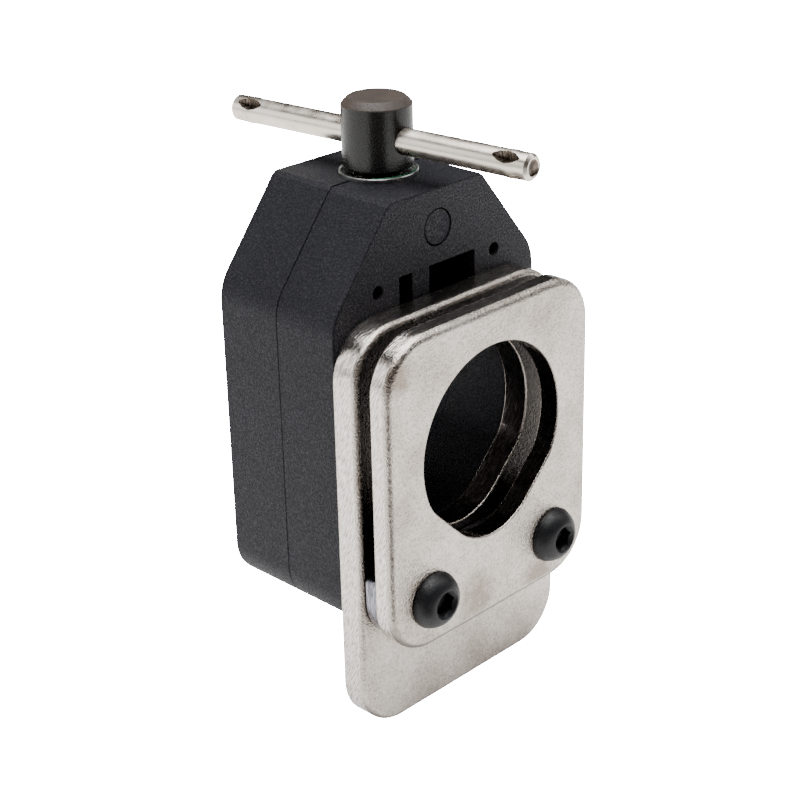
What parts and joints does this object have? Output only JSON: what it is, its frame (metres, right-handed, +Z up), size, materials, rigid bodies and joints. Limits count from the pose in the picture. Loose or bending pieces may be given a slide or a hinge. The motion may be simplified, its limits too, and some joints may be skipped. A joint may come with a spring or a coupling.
{
  "type": "steerer tube saw guide",
  "caption": "Bench guide for cutting a bicycle steerer tube square: slotted steel guide plates on a moulded housing, with a T-handle screw that lowers a jaw onto the tube.",
  "frame": {"origin": "axis of the tube hole, in the plane where the back guide plate meets the housing", "axes": "+X across the plates to the right seen from the front, +Y back through the tube hole from the saw plates to the housing, +Z up to the handle"},
  "size_m": [0.052, 0.0665, 0.1093],
  "materials": {
    "nylon": "spark-eroded black glass-filled nylon",
    "plate": "satin nickel-plated steel, tumbled",
    "oxide": "black oxide on alloy steel",
    "zinc": "bright zinc-plated steel",
    "bar": "satin nickel-plated bar",
    "jaw": "black oxide steel block"
  },
  "bodies": {
    "housing": {"front_housing": "nylon", "rear_housing": "nylon", "back_guide_plate": "plate", "blade_spacer": "plate", "front_guide_plate": "plate", "clamp_nut": "zinc", "guide_screw_left": "oxide", "guide_screw_right": "oxide", "housing_screw_left": "oxide", "housing_screw_right": "oxide", "plate_screw_upper_left": "oxide", "plate_screw_upper_right": "oxide", "plate_screw_lower_left": "oxide", "plate_screw_lower_right": "oxide"},
    "jaw": {"clamp_jaw": "jaw", "thrust_washer": "zinc", "jaw_pin_left": "zinc", "jaw_pin_right": "zinc"},
    "screw": {"clamp_screw": "oxide"},
    "bar": {"t_bar": "bar"}
  },
  "joints": [
    {"name": "jaw_slide", "type": "slide", "parent": "housing", "child": "jaw", "axis": [0, 0, 1], "range_m": [-0.0004, 0.0133]},
    {"name": "screw_turn", "type": "hinge", "parent": "jaw", "child": "screw", "pos_m": [0, 0.01393, 0.0497], "axis": [0, 0, 1], "range_deg": [-136, 4524]},
    {"name": "bar_slide", "type": "slide", "parent": "screw", "child": "bar", "axis": [0.0889, -0.996, 0], "range_m": [-0.0218, 0.0218]}
  ],
  "couplings": [
    {"joint": "jaw_slide", "follows": "screw_turn", "m_per_rad": 0.00016843}
  ]
}
